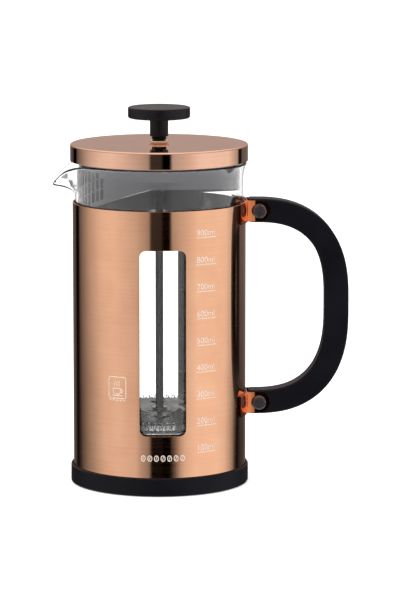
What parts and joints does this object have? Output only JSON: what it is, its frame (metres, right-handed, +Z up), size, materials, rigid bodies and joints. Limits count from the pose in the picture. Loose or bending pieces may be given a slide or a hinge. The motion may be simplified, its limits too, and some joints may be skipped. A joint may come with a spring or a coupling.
{
  "type": "french press",
  "caption": "One-litre plunger coffee press: glass beaker with spout in a copper-plated windowed sleeve, black base, D handle, lid with strainer collar and sprung filter plunger.",
  "frame": {"origin": "on the pot's axis, on the flat underside of the base cup", "axes": "+Z up along the pot's axis towards the knob; +X towards the handle; -X towards the beaker's spout; the sleeve's two windows face -Y and +Y"},
  "size_m": [0.1678, 0.1012, 0.2142],
  "materials": {
    "copper_plate": "copper-plated stainless steel, finely brushed round the pot",
    "black_plastic": "moulded black plastic, satin",
    "grey_plastic": "smoke-grey moulded plastic, glossy",
    "pad_rubber": "matte",
    "clear_glass": "clear, fire-polished rim",
    "bright_steel": "bright stainless steel",
    "dark_steel": "blackened steel, worn in the slot",
    "steel_gauze": "fine woven stainless gauze",
    "insert_brass": "machined",
    "scale_print": "pale print on the sleeve"
  },
  "bodies": {
    "pot": {"base_cup": "black_plastic", "base_pad": "pad_rubber", "sleeve": "copper_plate", "bracket_upper": "copper_plate", "bracket_lower": "copper_plate", "handle": "black_plastic", "handle_screw_upper": "dark_steel", "handle_screw_lower": "dark_steel", "handle_nut_upper": "dark_steel", "handle_nut_lower": "dark_steel"},
    "beaker": {"beaker": "clear_glass"},
    "lid_bush": {"lid_ferrule": "copper_plate", "lid_nut": "bright_steel", "guide_bush": "black_plastic"},
    "lid": {"lid_shell": "copper_plate", "strainer_collar": "grey_plastic"},
    "rod": {"plunger_rod": "bright_steel"},
    "plunger": {"knob": "black_plastic", "knob_insert": "insert_brass", "filter_hub": "bright_steel", "spiral_plate": "bright_steel", "rim_spring": "bright_steel", "filter_mesh": "steel_gauze", "cross_plate": "bright_steel", "clamp_nut": "bright_steel"}
  },
  "joints": [
    {"name": "beaker_lift", "type": "slide", "parent": "pot", "child": "beaker", "axis": [0, 0, 1], "range_m": [0, 0.17]},
    {"name": "lid_lift", "type": "slide", "parent": "beaker", "child": "lid_bush", "axis": [0, 0, 1], "range_m": [0, 0.17]},
    {"name": "lid_turn", "type": "hinge", "parent": "lid_bush", "child": "lid", "pos_m": [0, 0, 0.19], "axis": [0, 0, 1], "continuous": true},
    {"name": "plunger_slide", "type": "slide", "parent": "lid_bush", "child": "rod", "axis": [0, 0, 1], "range_m": [0, 0.105]},
    {"name": "plunger_turn", "type": "hinge", "parent": "rod", "child": "plunger", "pos_m": [0, 0, 0.2], "axis": [0, 0, 1], "continuous": true}
  ]
}
